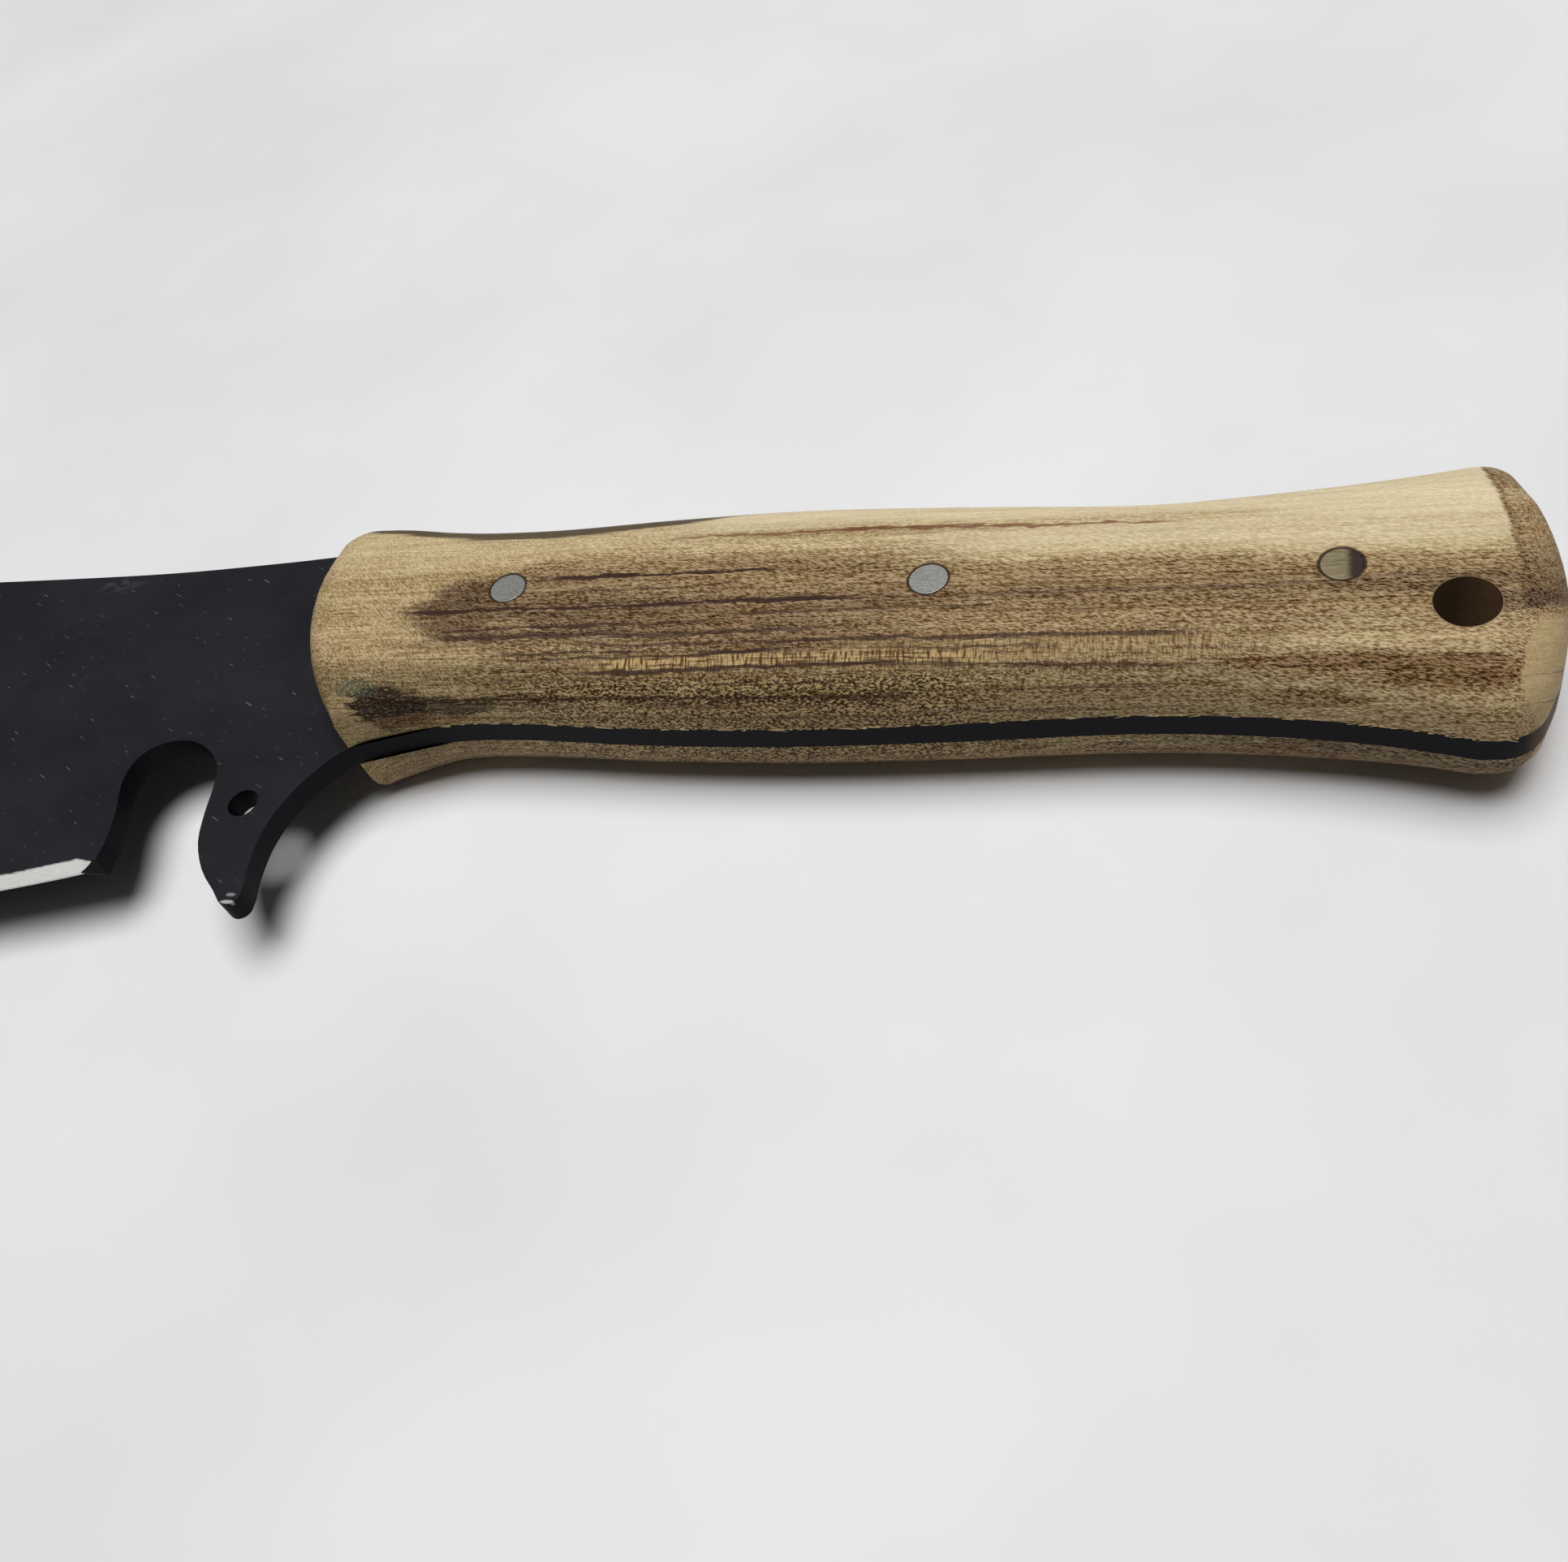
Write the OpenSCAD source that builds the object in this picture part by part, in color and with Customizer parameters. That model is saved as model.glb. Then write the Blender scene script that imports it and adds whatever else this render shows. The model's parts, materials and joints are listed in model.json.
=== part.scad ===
// Pruning sickle: a hooked full-tang blade with two wooden handle scales and three flush pins.
// It lies on its right scale. +X runs to the butt, +Y to the spine and +Z up through the left scale.
// Every outline is drawn from the front pin, on the middle plane of the steel, and the whole is
// then moved so that its origin is under the middle of its box, on the surface that it lies on.

/* [Steel] */
// Thickness of the steel
steel_t = 3.2; // [2.6:0.1:4.2]
// Width of the ground bevel, seen on the side of the blade
bevel_w = 1.2; // [0.8:0.1:2.2]
// Blunt land that sharpening leaves on the cutting edge
edge_land = 0.2; // [0.1:0.05:0.4]

/* [Blade] */
// Reach of the beak in front of the front pin
beak_reach = 253; // [235:1:270]
// Depth of the beak's tip below the pin line
beak_drop = 66; // [58:1:74]
// Depth of the belly of the cutting edge below the pin line
belly_depth = 46; // [42:1:50]
// Height of the straight spine above the pin line
spine_h = 13.1; // [12:0.1:15]
// Diameter of the small hole in the spur
spur_hole_d = 3.9; // [3:0.1:5]

/* [Handle] */
// Thickness of each scale
scale_t = 8.5; // [7:0.1:10]
// Half of the grip's height at the front waist
waist_h = 14.4; // [13.6:0.1:15.2]
// Half of the grip's height at the palm swell
swell_h = 15.7; // [15:0.1:17]
// Half of the grip's height at the rear waist
rear_waist_h = 13.9; // [13:0.1:14.6]
// Half of the grip's height at the flared butt
butt_h = 18; // [16.5:0.1:19]
// Distance of the butt behind the front pin
butt_x = 117.5; // [115:0.5:121]
// Diameter of the hanging hole through the scales and the tang
hang_hole_d = 6.5; // [5:0.1:8]

/* [Pins] */
// Diameter of the front and middle pins
pin_d = 4.5; // [4:0.1:5]
// Diameter of the rear pin
rear_pin_d = 4.4; // [4:0.1:5.5]
// Distance from the front pin to the middle pin
middle_pin_x = 52; // [46:0.5:56]
// Distance from the front pin to the rear pin
rear_pin_x = 95.4; // [90:0.1:98]

/* [Hidden] */
$fn = 64;

black_coat = [0.16, 0.16, 0.18];
bare_wood = [0.72, 0.62, 0.44];
back_wood = [0.66, 0.55, 0.38];
grey_pin = [0.56, 0.56, 0.54];
rear_pin_tone = [0.47, 0.43, 0.33];

half_t = steel_t / 2;
top_z = half_t + scale_t;

// Centres of the pins and holes
middle_pin_at = [middle_pin_x, -0.9];
rear_pin_at = [rear_pin_x, -0.8];
hang_hole_at = [107.1, -6.4];
spur_hole_at = [-31.1, -26.2];

// A smooth curve through the points p, with n steps from each point to the next
function curve(p, n) = [
    for (i = [0 : len(p) - 2])
        let (a = p[max(i - 1, 0)], b = p[i], c = p[i + 1], d = p[min(i + 2, len(p) - 1)])
            for (k = [0 : n - 1])
                let (t = k / n)
                    b + (c - a) * t / 2 + (2 * a - 5 * b + 4 * c - d) * t * t / 2
                        + (3 * b - a - 3 * c + d) * t * t * t / 2,
    p[len(p) - 1]
];

// An arc about c of radius r, from angle a0 to a1 in n steps
function arc(c, r, a0, a1, n) = [for (k = [0 : n]) let (a = a0 + (a1 - a0) * k / n) c + r * [cos(a), sin(a)]];

// The points of a list from number i0 to number i1
function part(p, i0, i1) = [for (i = [i0 : i1]) p[i]];

// Upper edge from the butt over the grip, then the spine, then the back of the beak
grip_top = [
    [butt_x - 8, butt_h], [98, 16.1], [84, 14.5], [73, rear_waist_h + 0.1], [54, 15.2], [35, swell_h + 0.3],
    [18, 15.4], [2, waist_h], [-12, 14.7], [-25, 15.8]
];
spine = [
    [-42, 14.5], [-60, 13.4], [-82, spine_h], [-108, spine_h], [-135, spine_h - 0.4], [-162, 9.5],
    [-188, 0.5], [-211, -13], [-230, -31], [-244, -50], [-beak_reach, -beak_drop]
];
top_steps = 5;
top_line = curve(concat(grip_top, spine), top_steps);
grip_top_line = part(top_line, 0, (len(grip_top) - 1) * top_steps);

// Cutting edge from the tip of the beak, through the hook and along the belly to the heel
edge_steps = 5;
edge_line = curve([
    [-beak_reach + 1.6, -beak_drop + 0.2], [-243, -55], [-227, -44.5], [-207, -38], [-186, -36],
    [-164, -37.6], [-142, -belly_depth + 4], [-122, -belly_depth + 1], [-102, -belly_depth],
    [-84, -43.6], [-66, -39.6], [-54, -36.7], [-48.4, -34.9]
], edge_steps);

// Notch between heel and spur, then the outer side of the spur
notch_line = curve([
    [-48.3, -33.6], [-48.4, -31], [-49.1, -27.2], [-50.2, -23.6], [-50.1, -20.2], [-48.5, -17.8],
    [-45.6, -16.6], [-42.4, -16.7], [-39.3, -18.3], [-37.2, -20.8], [-36.4, -23.8], [-35.9, -27.7],
    [-34.9, -32], [-32.6, -35.9], [-29.8, -38.7]
], 3);

// Rounded tip of the spur
spur_tip_line = arc([-27.3, -39.2], 1.5, -140, -8, 7);

// Inner side of the spur, then the underside of the grip as far as the butt
front_corner = [-19.6, -17.8];
spur_inside = [[-25.9, -37.9], [-26.4, -35.2], [-26.6, -31], [-25.8, -26.9], [-23.4, -22]];
grip_low = [
    front_corner, [-13.6, -15.7], [-6, -waist_h + 0.1], [4, -waist_h + 0.1], [18, -15.1],
    [35, -swell_h + 0.3], [54, -14.8], [74, -rear_waist_h + 0.1], [88, -14.2], [99, -15.4],
    [butt_x - 9, -butt_h + 0.7]
];
low_steps = 4;
low_line = curve(concat(spur_inside, grip_low), low_steps);
grip_low_line = part(low_line, len(spur_inside) * low_steps, len(low_line) - 1);

// Butt: a flat arc between a wide lower corner and a tighter upper corner
butt_r = 40;
butt_line = concat(
    arc([butt_x - 7.4, -butt_h + 5.7], 5, -82, -24, 6),
    arc([butt_x - butt_r, 0], butt_r, -16, 17, 10),
    arc([butt_x - 7.3, butt_h - 4], 4, 28, 84, 6)
);

blade_outline = concat(top_line, edge_line, notch_line, spur_tip_line, low_line, butt_line);

// Front end of the scales: a raked arc that bulges towards the blade
front_line = concat(
    arc([-25.5, 11.5], 4.3, 98, 168, 6),
    arc([4.6, 7], 34.4, 178, 222, 9)
);
scale_outline = concat(grip_top_line, front_line, grip_low_line, butt_line);

// The whole object's box, from the blade's outline, which the scales are flush with
box_x = [min([for (q = blade_outline) q[0]]), max([for (q = blade_outline) q[0]])];
box_y = [min([for (q = blade_outline) q[1]]), max([for (q = blade_outline) q[1]])];
origin = [(box_x[0] + box_x[1]) / 2, (box_y[0] + box_y[1]) / 2, -top_z];

module place() { translate(-origin) children(); }

// A closed solid between rings of points that each have the same number of points
module loft(rings) {
    n = len(rings[0]);
    last = len(rings) - 1;
    faces = concat(
        [[for (i = [0 : n - 1]) i]],
        [for (j = [0 : last - 1], i = [0 : n - 1]) [j * n + i, (j + 1) * n + i, j * n + (i + 1) % n]],
        [for (j = [0 : last - 1], i = [0 : n - 1])
            [j * n + (i + 1) % n, (j + 1) * n + i, (j + 1) * n + (i + 1) % n]],
        [[for (i = [n - 1 : -1 : 0]) last * n + i]]
    );
    polyhedron(points = [for (ring = rings) each ring], faces = faces, convexity = 8);
}

// How far the grinding stands off the edge at point i: nothing along the edge, clear of the steel at
// both of its ends, so that the bevel runs out at the heel and just before the tip of the beak
bevel_slope = (half_t - edge_land / 2) / bevel_w;
heel_runout = 3;
tip_runout = 4;
full_stand_off = 1.25 * bevel_w;
function stand_off(i) =
    full_stand_off * max(0, 1 - (len(edge_line) - 1 - i) / heel_runout, 1 - i / tip_runout);

// Direction from point i of the cutting edge into the blade
function inward(i) =
    let (d = edge_line[min(i + 1, len(edge_line) - 1)] - edge_line[max(i - 1, 0)]) [-d[1], d[0]] / norm(d);

// The wedge that grinding takes off one side: its sloping face passes through the land and the bevel's top,
// and reaches past both by the length named over
module ground_away() {
    over = 0.8;
    loft([
        for (i = [0 : len(edge_line) - 1])
            [for (w = [[-over, -1], [bevel_w + over, 1], [-over, 1]])
                let (
                    q = edge_line[i] + inward(i) * (w[0] - stand_off(i)),
                    z = w[1] > 0 ? half_t + over * bevel_slope : edge_land / 2 - over * bevel_slope
                )
                    [q[0], q[1], z]]
    ]);
}

module hole(at, d) { translate([at[0], at[1], 0]) cylinder(h = 3 * top_z, d = d, center = true); }

module pin(at, d) { translate([at[0], at[1], 0]) cylinder(h = 2 * top_z, d = d, center = true); }

module pin_holes() {
    hole([0, 0], pin_d);
    hole(middle_pin_at, pin_d);
    hole(rear_pin_at, rear_pin_d);
    hole(hang_hole_at, hang_hole_d);
}

module blade() {
    color(black_coat) place() difference() {
        linear_extrude(height = steel_t, center = true) polygon(blade_outline);
        ground_away();
        mirror([0, 0, 1]) ground_away();
        pin_holes();
        hole(spur_hole_at, spur_hole_d);
    }
}

// Dome of a scale: a superellipse from the outline to the middle of the grip. The higher its power, the
// fuller the dome. Handwork left the lower corners of the two scales unlike. The numbers of a scale are the
// power at its lower front corner, where along the grip that starts, and the power at its lower butt corner.
crown = 0.25;
dome_steps = 9;
dome_end_angle = 80;
side_power = 2.6;
left_corners = [4.5, -7, 3.2];
right_corners = [3.8, -8, 2.35];
spine_x = [-14, 105];
function blend(v, v0, v1) = let (t = max(0, min(1, (v - v0) / (v1 - v0)))) t * t * (3 - 2 * t);
function dome_power(q, corners) =
    side_power
        + (corners[0] - side_power) * blend(q[0], corners[1], -20) * blend(q[1], 20, 0)
        + (corners[2] - side_power) * blend(q[0], 90, 106) * blend(q[1], 6, -6);
function dome_ring(j, corners) =
    let (a = dome_end_angle * j / dome_steps)
        [for (q = scale_outline)
            let (
                p = dome_power(q, corners),
                target = [max(spine_x[0], min(spine_x[1], q[0])), 0],
                share = 1 - pow(cos(a), 2 / p),
                at = q + (target - q) * share
            )
                [at[0], at[1], half_t + (scale_t + crown) * pow(sin(a), 2 / p)]
        ];

module scale_half(corners) {
    difference() {
        intersection() {
            loft([for (j = [0 : dome_steps]) dome_ring(j, corners)]);
            translate([box_x[0], box_y[0], 0]) cube([box_x[1] - box_x[0], box_y[1] - box_y[0], top_z]);
        }
        pin_holes();
    }
}

module left_scale() { color(bare_wood) place() scale_half(left_corners); }
module right_scale() { color(back_wood) place() mirror([0, 0, 1]) scale_half(right_corners); }
module front_pin() { color(grey_pin) place() pin([0, 0], pin_d); }
module middle_pin() { color(grey_pin) place() pin(middle_pin_at, pin_d); }
module rear_pin() { color(rear_pin_tone) place() pin(rear_pin_at, rear_pin_d); }

blade();
left_scale();
right_scale();
front_pin();
middle_pin();
rear_pin();
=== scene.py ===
# %% [markdown]
# # A pruning sickle with a wooden handle
# The real tool is one flat steel blade whose tang runs the whole length of the handle. Two
# wooden scales lie against the tang, and three metal pins hold them. This script takes the
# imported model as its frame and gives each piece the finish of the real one.

# %% Load the frame
import bpy
import bmesh
import json
import math
import random
from mathutils import Matrix, Vector
from mathutils.bvhtree import BVHTree

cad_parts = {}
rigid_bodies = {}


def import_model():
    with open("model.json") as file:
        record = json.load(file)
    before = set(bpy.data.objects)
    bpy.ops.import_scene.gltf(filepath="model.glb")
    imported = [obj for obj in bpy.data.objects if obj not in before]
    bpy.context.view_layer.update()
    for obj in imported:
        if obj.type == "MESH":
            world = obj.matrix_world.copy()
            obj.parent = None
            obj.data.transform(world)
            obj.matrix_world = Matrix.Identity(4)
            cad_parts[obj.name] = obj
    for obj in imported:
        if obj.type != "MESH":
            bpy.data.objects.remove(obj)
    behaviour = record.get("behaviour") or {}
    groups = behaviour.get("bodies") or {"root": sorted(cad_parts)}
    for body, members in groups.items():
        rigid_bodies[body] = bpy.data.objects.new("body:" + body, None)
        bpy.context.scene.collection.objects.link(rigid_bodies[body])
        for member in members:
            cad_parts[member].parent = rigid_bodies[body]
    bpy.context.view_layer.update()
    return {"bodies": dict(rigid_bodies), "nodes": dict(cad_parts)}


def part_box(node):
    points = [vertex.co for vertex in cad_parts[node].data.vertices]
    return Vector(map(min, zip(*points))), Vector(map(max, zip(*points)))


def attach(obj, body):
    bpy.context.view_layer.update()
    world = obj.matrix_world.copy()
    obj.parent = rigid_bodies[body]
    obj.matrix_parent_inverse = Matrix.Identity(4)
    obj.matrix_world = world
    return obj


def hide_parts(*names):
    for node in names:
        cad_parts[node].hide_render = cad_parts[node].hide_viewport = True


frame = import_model()
MM = 0.001

# %% [markdown]
# Every place on the tool is measured from one point: the middle of the front pin. The frame
# knows where that pin is, so the numbers below stay right if the model moves in its box.

# %% Places on the tool
def middle(node):
    low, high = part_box(node)
    return (low + high) / 2


pin_middle = middle("front_pin")
blade_low, blade_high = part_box("blade")


def from_pin(x, y, z):
    """A place in millimetres from the front pin, as a place in the frame in metres"""
    return pin_middle + Vector((x, y, z)) * MM


print("front pin at", tuple(round(v / MM, 2) for v in pin_middle), "mm")
print("the steel is", round((blade_high.z - blade_low.z) / MM, 2), "mm thick")

# %% [markdown]
# ## Camera
# The photograph was taken by hand from close by, so the camera is near, looks down at about 50
# degrees and is rolled by some 22. A track quaternion points it, and a turn about its own axis
# adds the roll. The lens follows from the ratio of focal length to picture width.

# %% Place the camera
# In millimetres from the front pin, and in degrees
CAMERA_PLACE = (91.2, -124.1, 138.4)
CAMERA_AIM = (36.6, -21.4, 0)
CAMERA_ROLL = -21.94
SENSOR_WIDTH = 36
FOCAL_TO_WIDTH = 2000 / 1932


def put_in_scene(name, data):
    """A new object with this data, at the origin and unturned"""
    made = bpy.data.objects.new(name, data)
    bpy.context.scene.collection.objects.link(made)
    return made


def looking(place, aim):
    """The matrix of a camera or lamp that stands at a place and points at an aim"""
    turn = (aim - place).to_track_quat("-Z", "Y").to_matrix().to_4x4()
    return Matrix.Translation(place) @ turn


def place_camera():
    data = bpy.data.cameras.new("camera")
    data.sensor_width = SENSOR_WIDTH
    data.lens = SENSOR_WIDTH * FOCAL_TO_WIDTH
    data.clip_start = 5 * MM
    camera = put_in_scene("camera", data)
    roll = Matrix.Rotation(math.radians(CAMERA_ROLL), 4, "Z")
    camera.matrix_world = looking(from_pin(*CAMERA_PLACE), from_pin(*CAMERA_AIM)) @ roll
    bpy.context.scene.camera = camera
    return camera


camera = place_camera()
print("camera right vector", tuple(round(v, 3) for v in camera.matrix_world.col[0][:3]))

# %% [markdown]
# ## Colours and nodes
# Colours are written as sRGB hex values, as a colour picker shows them, and Cycles wants them
# linear. One function turns them, and one more adds a node: its inputs come in their order, and
# its settings by name. The others start a material, link a node to its shader and count its nodes.

# %% Colour and node helpers
def rgb(code):
    """Linear red, green, blue and alpha of an sRGB hex value"""
    parts = [int(code[i:i + 2], 16) / 255 for i in (0, 2, 4)]
    return [p / 12.92 if p <= 0.04045 else ((p + 0.055) / 1.055) ** 2.4 for p in parts] + [1.0]


def adder(material):
    """A function that adds nodes to this material"""
    tree = material.node_tree

    def add(kind, *inputs, stops=None, **settings):
        made = tree.nodes.new("ShaderNode" + kind)
        for name, value in settings.items():
            setattr(made, name, value)
        if stops:
            ramp = made.color_ramp.elements
            while len(ramp) < len(stops):
                ramp.new(0.5)
            for element, (place, colour) in zip(ramp, stops):
                element.position = place
                element.color = colour
        for socket, value in zip([s for s in made.inputs if s.enabled], inputs):
            if isinstance(value, bpy.types.Node):
                value = next(s for s in value.outputs if s.enabled)
            if isinstance(value, bpy.types.NodeSocket):
                tree.links.new(value, socket)
            elif value is not None:
                socket.default_value = value
        return made

    return add


def start_material(name, **values):
    """A new material, its adder and its shader with these values"""
    material = bpy.data.materials.new(name)
    material.use_nodes = True
    shader = material.node_tree.nodes["Principled BSDF"]
    for socket, value in values.items():
        shader.inputs[socket.replace("_", " ")].default_value = value
    return material, adder(material), shader


def link(material, node, socket):
    """Link a node's first output to a socket of the shader"""
    material.node_tree.links.new(next(s for s in node.outputs if s.enabled), socket)


def count_nodes(*materials):
    for material in materials:
        print(material.name, "has", len(material.node_tree.nodes), "nodes")

# %% [markdown]
# ## Patterns
# A pattern is drawn in millimetres from the front pin, so its numbers are sizes that can be
# checked with a ruler. Three small patterns do most of the work: a noise with its own length and
# width, a window that is open between two values, and a soft round patch.

# %% Pattern helpers
def millimetres(add):
    """Object coordinates in millimetres from the front pin"""
    coords = add("TexCoord").outputs["Object"]
    away = add("VectorMath", coords, tuple(pin_middle), operation="SUBTRACT")
    return add("VectorMath", away, (1000, 1000, 1000), operation="MULTIPLY")


def stretched_noise(add, place, size, seed, detail=2.0, rough=0.5):
    """Noise whose grains have this size in millimetres along the three axes"""
    scale = tuple(1 / s for s in size)
    moved = add("Mapping", place, (seed * 7.3, seed * 3.1, seed * 5.7), None, scale)
    return add("TexNoise", moved, 1.0, detail, rough, 2.0, 0.0)


def step_up(add, value, low, high):
    """0 below low, 1 above high and smooth between"""
    return add("MapRange", value, low, high, 0.0, 1.0, interpolation_type="SMOOTHSTEP")


def window(add, value, low, high, soft):
    """1 between low and high, 0 outside, with soft sides"""
    up = step_up(add, value, low - soft, low + soft)
    down = step_up(add, value, high - soft, high + soft)
    return add("Math", up, down, operation="SUBTRACT")


def patch(add, place, centre, size, edge=0.6):
    """1 in the middle of an ellipse of this size, 0 outside, and soft in its outer part"""
    away = add("VectorMath", place, centre, operation="SUBTRACT")
    shrunk = add("VectorMath", away, tuple(1 / s for s in size), operation="MULTIPLY")
    far = add("VectorMath", shrunk, operation="LENGTH").outputs["Value"]
    return add("MapRange", far, 1.0 - edge, 1.0, 1.0, 0.0, interpolation_type="SMOOTHSTEP")


def times(add, *values):
    """The product of several masks"""
    result = values[0]
    for value in values[1:]:
        result = add("Math", result, value, operation="MULTIPLY")
    return result


def tint(add, colour, mask, code):
    """The colour with another laid over it where the mask says so"""
    return add("Mix", mask, colour, rgb(code), data_type="RGBA")


def shaded(add, colour, shade, hue=0.5):
    """The colour made darker and richer, or brighter and paler, by a factor; 0.5 keeps its hue"""
    richness = add("MapRange", shade, 0.2, 1.5, 1.35, 0.85)
    return add("HueSaturation", hue, richness, shade, 1.0, colour)

# %% [markdown]
# ## Wood
# The scales are sawn from a board at the edge of the log, so pale sapwood lies along the spine
# and brown heartwood along the belly. Growth layers run along the handle and are tilted about 45
# degrees, so the flat top cuts them slanting and the lower rounding cuts them square: there the
# rays show as a ladder of short cross ticks. The pattern is therefore drawn on three axes: along
# the grain, across the layers and within a layer. All three are turned from object coordinates,
# so the streaks go through the wood and meet at every edge.

# %% Wood tones
TONES = {
    "straw": "DBCBA8", "cream": "CDBC99", "sapwood": "C1AD87", "tan": "B09A74", "fawn": "A28B66",
    "sand": "957F5D", "light heart": "927957", "heart": "856D4E", "walnut": "7B6346",
    "dark heart": "69523A", "umber": "594735", "stain": "2B1F16", "line": "3A2620",
    "olive": "806D4D", "olive pale": "8F7D5A", "dull olive": "70603F", "red brown": "774A33",
    "rust": "6F5334", "blue green": "474D3C", "ray": "C2A874", "tick": "553419", "pore": "2E1A0A",
    "ochre": "9C7F5A", "pale fibre": "C9B184", "edge": "33271C", "bore brown": "A17F60",
}

# Places across the layers in millimetres, from the belly to the spine, and the tone at each,
# for six stretches of the handle
NOSE = [
    (-11, "olive pale"), (-5.5, "sand"), (-4, "olive"), (-2, "olive"), (-0.5, "fawn"), (1, "fawn"),
    (2.5, "tan"), (5, "fawn"), (6.5, "tan"), (8, "fawn"), (9.5, "tan"), (11, "sapwood"),
    (16, "sapwood"),
]
FRONT = [
    (-11, "olive pale"), (-7.6, "olive pale"), (-6.8, "olive"), (-6, "umber"), (-5.2, "olive"),
    (-3.4, "olive pale"), (-1.8, "sand"), (-0.8, "olive"), (0.1, "sand"), (0.8, "heart"),
    (1.6, "dark heart"), (3, "dark heart"), (5.4, "dark heart"), (6.4, "walnut"), (7.3, "heart"),
    (8.6, "heart"), (9.4, "light heart"), (10, "fawn"), (11, "tan"), (12, "sapwood"),
    (14, "sapwood"), (16, "straw"),
]
MIDDLE = [
    (-11, "olive"), (-8, "olive"), (-7, "walnut"), (-6.1, "umber"), (-5, "dull olive"),
    (-3.2, "olive"), (-2.2, "sand"), (-1.2, "olive"), (-0.3, "walnut"), (2.4, "walnut"),
    (3.6, "walnut"), (4.9, "dark heart"), (5.8, "heart"), (7.2, "light heart"), (8.2, "heart"),
    (9, "light heart"), (9.9, "fawn"), (11, "sapwood"), (12.2, "tan"), (13.2, "cream"),
    (14, "straw"), (16, "straw"),
]
REAR = [
    (-11, "heart"), (-9, "olive"), (-7.6, "olive pale"), (-6.2, "heart"), (-4.4, "olive pale"),
    (-3, "olive"), (-2, "sand"), (-0.9, "sand"), (0, "light heart"), (2.4, "light heart"),
    (3.6, "heart"), (4.9, "walnut"), (6, "light heart"), (7.4, "light heart"), (8.1, "fawn"),
    (8.9, "sapwood"), (10, "cream"), (11.4, "cream"), (12.4, "sapwood"), (13.2, "straw"),
    (16, "straw"),
]
BUTT = [
    (-11, "sand"), (-7, "fawn"), (-5.4, "sand"), (-3.6, "heart"), (-2.8, "heart"), (-2, "sand"),
    (-1, "tan"), (0, "fawn"), (1, "sand"), (2.6, "light heart"), (4, "heart"), (5.2, "heart"),
    (6.4, "light heart"), (7.3, "fawn"), (8, "sapwood"), (9, "cream"), (11, "cream"),
    (12.2, "straw"), (16, "straw"),
]
END = [
    (-11, "fawn"), (-6, "sand"), (-2.6, "sand"), (0, "fawn"), (1.2, "light heart"),
    (2, "dark heart"), (3.4, "dark heart"), (4.6, "walnut"), (6.4, "heart"), (8, "sand"),
    (9, "ochre"), (10.2, "sand"), (11.4, "ochre"), (13, "tan"), (14, "light heart"), (16, "sand"),
]
LAYERS_LOW = -11
LAYERS_HIGH = 16
LAYERS_SPAN = LAYERS_HIGH - LAYERS_LOW


def layer_tones(add, across, stretch):
    """The tones of one stretch of the handle, laid out across the layers"""
    share = add("MapRange", across, LAYERS_LOW, LAYERS_HIGH, 0.0, 1.0)
    stops = [((p - LAYERS_LOW) / LAYERS_SPAN, rgb(TONES[tone])) for p, tone in stretch]
    return add("ValToRGB", share, stops=stops)

# %% [markdown]
# A growth line is a thin streak at one place across the layers. It starts and ends softly,
# wavers a little and breaks up, so it is made of a distance, a window along the grain and a noise.
# Most are dark. The pale fibres are rows of lifted ones, which break into dashes.

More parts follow.
